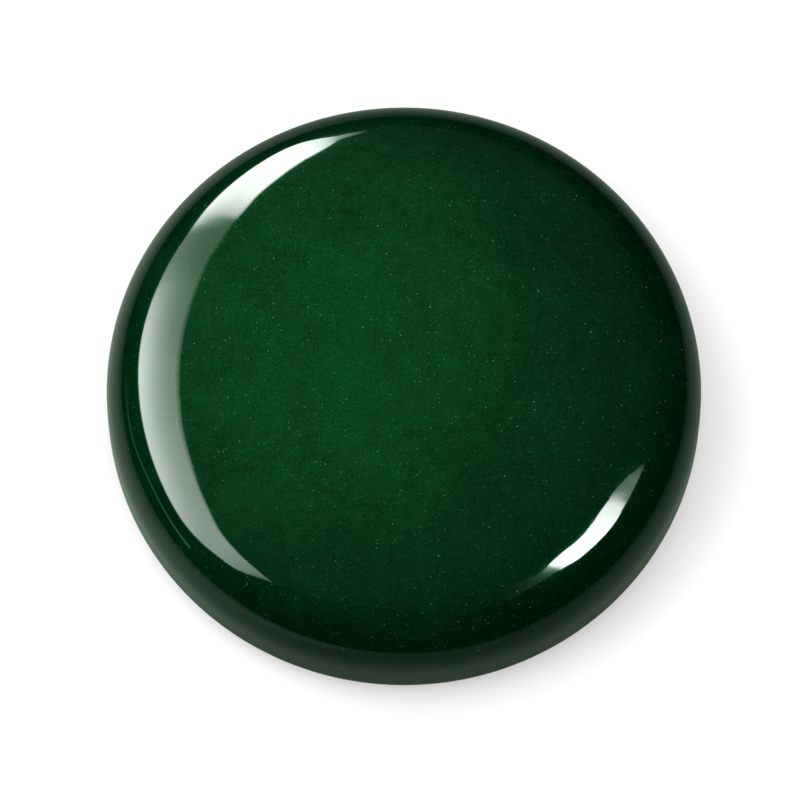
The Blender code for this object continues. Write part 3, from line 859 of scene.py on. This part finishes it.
# the tall window behind and to the left, running down into the paler wall below it
glow_sheet("card_window", [
    ((95.5, 29.9), (95.3, 31.7), 0.4, 0.3),
    ((97.7, 29.1), (97.3, 34.4), 3.0, 2.5),
    ((99.6, 29.4), (99.1, 36.1), 7.0, 5.0),
    ((102.3, 25.6), (100.1, 40.3), 17, 14),
    ((105.6, 21.2), (101.9, 44.6), 19, 23),
    ((108.9, 20.4), (104.1, 47.2), 21, 24),
    ((116.0, 24.1), (108.4, 53.0), 22, 22),
    ((120.1, 26.3), (109.6, 55.2), 20, 18),
    ((123.4, 28.6), (110.6, 56.6), 17.5, 11),
    ((125.8, 31.2), (111.2, 57.2), 11, 2.0),
    ((128.1, 33.2), (112.0, 58.4), 2.8, 1.4),
    ((133.4, 34.0), (115.0, 60.8), 3.4, 1.6),
    ((137.4, 34.8), (116.1, 62.2), 5.4, 2.0),
    ((141.4, 34.9), (118.0, 63.3), 9.0, 2.7),
    ((149.8, 35.4), (121.7, 65.3), 13.5, 3.5),
    ((157.0, 37.2), (125.6, 66.9), 15.0, 4.4),
    ((169.0, 40.6), (132.7, 68.7), 13.5, 4.8),
    ((182.1, 41.8), (142.0, 70.3), 12.0, 5.6),
    ((194.6, 41.5), (163.2, 70.6), 8.8, 6.0),
    ((201.3, 44.4), (180.1, 69.5), 6.4, 6.0),
    ((205.5, 48.8), (190.4, 69.2), 6.0, 6.0),
    ((210.4, 52.6), (198.9, 68.8), 4.6, 4.6),
    ((212.2, 57.4), (204.2, 68.6), 3.6, 4.2),
    ((213.4, 66.4), (214.3, 67.0), 1.6, 1.6),
])
# a second, narrower light to the right, with a fainter stretch at each end
glow_sheet("card_strip", [
    ((-51.1, 63.6), (-34.2, 76.8), 0.04, 0.02),
    ((-37.1, 64.9), (-26.4, 74.0), 0.28, 0.16),
    ((-31.9, 64.3), (-22.4, 72.1), 0.6, 0.5),
    ((-28.6, 62.9), (-18.0, 72.1), 1.6, 6.0),
    ((-27.2, 61.6), (-14.0, 72.8), 24, 24),
    ((-24.4, 57.6), (-6.4, 72.8), 27, 27),
    ((-17.5, 54.9), (-1.3, 70.6), 27, 27),
    ((-13.7, 53.7), (6.0, 69.8), 25, 25),
    ((-9.7, 53.5), (9.0, 69.7), 21, 21),
    ((-5.3, 54.9), (12.5, 68.9), 17, 19),
    ((-2.8, 54.6), (13.6, 68.3), 3.5, 12),
    ((0.6, 54.4), (16.0, 67.6), 2.6, 2.6),
    ((3.5, 54.0), (14.0, 63.3), 3.0, 2.4),
    ((7.8, 53.2), (9.3, 55.2), 0.25, 0.2),
], soft=0.03)
# a thin line of light far down to the left
glow_sheet("card_line", [
    ((162.4, 11.5), (162.1, 16.0), 0.2, 0.2),
    ((166.8, 11.6), (166.5, 15.6), 0.45, 0.45),
    ((175.9, 13.2), (175.6, 17.0), 0.7, 0.7),
    ((186.8, 20.5), (186.2, 24.3), 0.85, 0.85),
    ((198.2, 20.2), (197.6, 24.0), 1.2, 1.2),
    ((205.9, 18.6), (205.2, 23.4), 1.5, 1.5),
], colour=(0.45, 1.0, 0.65))
card("card_overhead", [(-0.34, -0.21), (0.0, -0.19), (0.35, -0.23), (0.6, -0.34), (0.84, 0.24), (0.73, 0.6), (0.4, 2.0), (-0.2, 2.1)],
     0.05, 0.004, (-0.3, 0.5), (0.6, -0.1), z=1.4)


def area(name, at, size, power, colour=(1, 1, 1), aim=(0, 0, 0.01)):
    d = bpy.data.lights.new(name, "AREA")
    d.shape, d.size, d.energy, d.color = "DISK", size, power, colour
    o = bpy.data.objects.new(name, d)
    bpy.context.scene.collection.objects.link(o)
    o.location = at
    o.rotation_mode = "QUATERNION"
    o.rotation_quaternion = (Vector(aim) - Vector(at)).to_track_quat("-Z", "Y")
    o.visible_camera = o.visible_glossy = False
    return o


def around(az, el, dist=1.2):
    a, h = math.radians(az), math.radians(el)
    return dist * math.cos(a) * math.cos(h), dist * math.sin(a) * math.cos(h), dist * math.sin(h)


area("key_left", around(180, 50), 1.0, 3.7)
area("key_back", around(140, 40), 1.0, 3.3)
area("fill_front", around(-60, 50), 1.0, 3.0)
area("low_left", around(216, 30), 0.9, 2.6)

# The window, its strip and the thin line are drawn for the enamel; the metal, glass
# and rubber get a plain soft room of their own.
outside, inside = bpy.data.collections.new("for_enamel"), bpy.data.collections.new("for_fittings")
for o in list(bpy.context.scene.objects):
    if o.type == "MESH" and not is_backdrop(o):
        (outside if o.name in ("cover_shell_fine", "base_shell_fine") else inside).objects.link(o)
for o in list(bpy.context.scene.objects):
    if o.name.startswith("card_"):
        o.light_linking.receiver_collection = outside
for name, at, size, power in (
    ("room_top", (0.0, 0.15, 1.0), 1.5, 9.0),
    ("room_left", around(165, 28, 1.1), 0.9, 5.0),
    ("room_right", around(20, 24, 1.1), 0.7, 2.6),
    ("room_back", around(95, 22, 1.1), 0.8, 3.4),
    ("room_front", around(-75, 26, 1.1), 0.7, 2.6),
):
    o = area(name, at, size, power)
    o.visible_glossy = True
    o.light_linking.receiver_collection = inside

world = bpy.data.worlds.new("studio")
world.use_nodes = True
world.node_tree.nodes["Background"].inputs["Color"].default_value = (1, 1, 1, 1)
world.node_tree.nodes["Background"].inputs["Strength"].default_value = 1.18
world.cycles_visibility.glossy = False
bpy.context.scene.world = world
bpy.context.scene.view_settings.view_transform = "Standard"

# --------------------------------------------------------------------- camera
ELEV, DIST, PX = 71.07, 1.5, 55.0 / 296.2
cam_data = bpy.data.cameras.new("camera")
cam = bpy.data.objects.new("camera", cam_data)
bpy.context.scene.collection.objects.link(cam)
bpy.context.scene.camera = cam
e = math.radians(ELEV)
toward = Vector((0, -math.cos(e), math.sin(e)))
up = Vector((0, math.sin(e), math.cos(e)))
prof = outer
front = min(-r * math.sin(e) + z * math.cos(e) for r, z in prof)
back = max(r * math.sin(e) + z * math.cos(e) for r, z in prof)
centre_v = (front + back) / 2
target = Vector((-3.9 * PX, 0, 0)) * MM + up * (centre_v - 5.9 * PX) * MM
cam.location = target + toward * DIST
cam.rotation_mode = "QUATERNION"
cam.rotation_quaternion = (-toward).to_track_quat("-Z", "Y")
cam_data.sensor_width = 36.0
cam_data.lens = 36.0 * DIST / (800 * PX * MM) * 0.9945
cam_data.clip_start, cam_data.clip_end = 0.05, 20.0
cam_data.dof.use_dof = False
